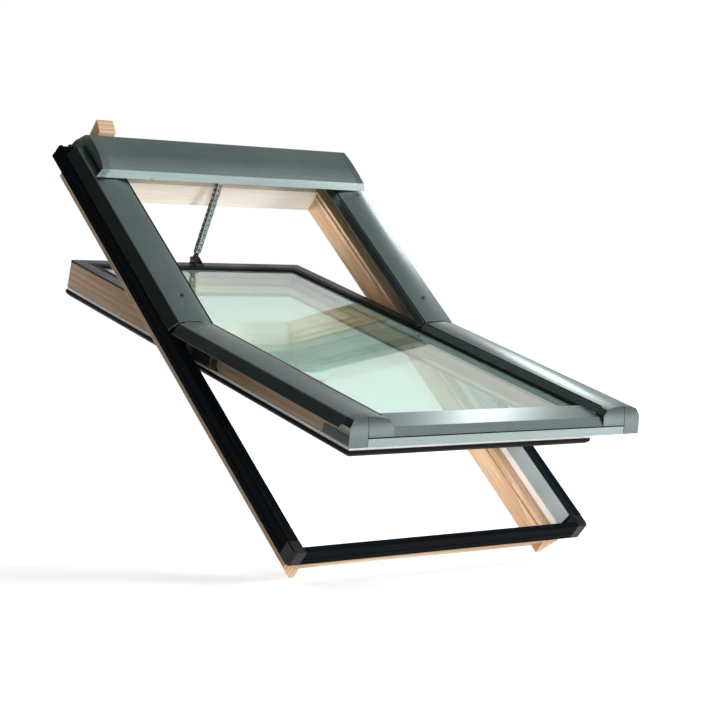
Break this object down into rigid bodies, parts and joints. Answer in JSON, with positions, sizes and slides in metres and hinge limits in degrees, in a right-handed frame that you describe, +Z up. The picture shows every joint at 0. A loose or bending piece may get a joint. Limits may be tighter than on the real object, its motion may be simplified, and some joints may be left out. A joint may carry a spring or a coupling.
{
  "type": "roof skylight",
  "caption": "Centre-pivot timber roof window with grey metal covers and dark outer profiles; the glazed sash swings between shut and open on side pivots, moved by a push chain at the head",
  "frame": {"origin": "centre of the sill's lower end face, where the window's frame bears on the roof", "axes": "X runs across the window to the right seen from outside, Z is up, and Y runs level towards the ridge; the frame leans back by the roof pitch"},
  "size_m": [0.78, 1.0895, 0.9336],
  "materials": {
    "pine": "clear lacquer",
    "batten": "planed",
    "dark_profile": "matt black coat",
    "dark_moulding": "fine texture",
    "grey_cover": "satin grey coat",
    "bare_aluminium": "mill",
    "white_seal": "smooth",
    "black_seal": "matt",
    "glazing": "clear, green edge",
    "spacer_bar": "satin",
    "steel": "zinc plated",
    "black_steel": "black zinc"
  },
  "bodies": {
    "frame": {"jamb_right": "pine", "jamb_left": "pine", "sill": "pine", "head": "pine", "profile_right": "dark_profile", "profile_left": "dark_profile", "profile_bottom": "dark_profile", "profile_top": "dark_profile", "profile_corner_right": "dark_moulding", "profile_corner_left": "dark_moulding", "liner_right": "bare_aluminium", "liner_left": "bare_aluminium", "white_strip_right": "white_seal", "white_strip_left": "white_seal", "upper_cover_right": "grey_cover", "upper_cover_left": "grey_cover", "upper_beads": "black_seal", "cover_screws": "steel", "hood": "grey_cover", "hood_cap_right": "grey_cover", "hood_cap_left": "grey_cover", "hood_clips": "steel", "drive_housing": "dark_moulding", "frame_bracket_right": "black_steel", "frame_bracket_left": "black_steel", "pivot_pins": "steel", "timber_block": "batten"},
    "sash": {"stile_right": "pine", "stile_left": "pine", "bottom_rail": "pine", "top_rail": "pine", "inner_pane": "glazing", "spacer": "spacer_bar", "outer_pane": "glazing", "glazing_gasket": "black_seal", "glazing_strip_right": "bare_aluminium", "glazing_strip_left": "bare_aluminium", "glazing_strip_top": "bare_aluminium", "lower_cover_right": "grey_cover", "lower_cover_left": "grey_cover", "lower_beads": "black_seal", "bottom_cover": "grey_cover", "front_strip": "grey_cover", "corner_cap_right": "grey_cover", "corner_cap_left": "grey_cover", "corner_shell_right": "grey_cover", "corner_shell_left": "grey_cover", "carrier_ring": "white_seal", "sash_seal": "black_seal", "pivot_plate_right": "black_steel", "pivot_plate_left": "black_steel", "hinge_case_right": "dark_moulding", "hinge_case_left": "dark_moulding", "side_plate": "bare_aluminium", "chain_bracket": "steel", "chain_end": "steel"},
    "chain": {"chain_links": "black_steel", "chain_blocks": "steel"}
  },
  "joints": [
    {"name": "sash_pivot", "type": "hinge", "parent": "frame", "child": "sash", "pos_m": [0, 0.34105, 0.45586], "axis": [1, 0, 0], "range_deg": [0, 26.8]},
    {"name": "chain_swivel", "type": "hinge", "parent": "frame", "child": "chain", "pos_m": [0.012, 0.70702, 0.83985], "axis": [1, 0, 0], "range_deg": [0, 9], "deforming": ["chain_links", "chain_blocks"]}
  ],
  "couplings": [
    {"joint": "chain_swivel", "follows": "sash_pivot", "ratio": 0.31}
  ]
}
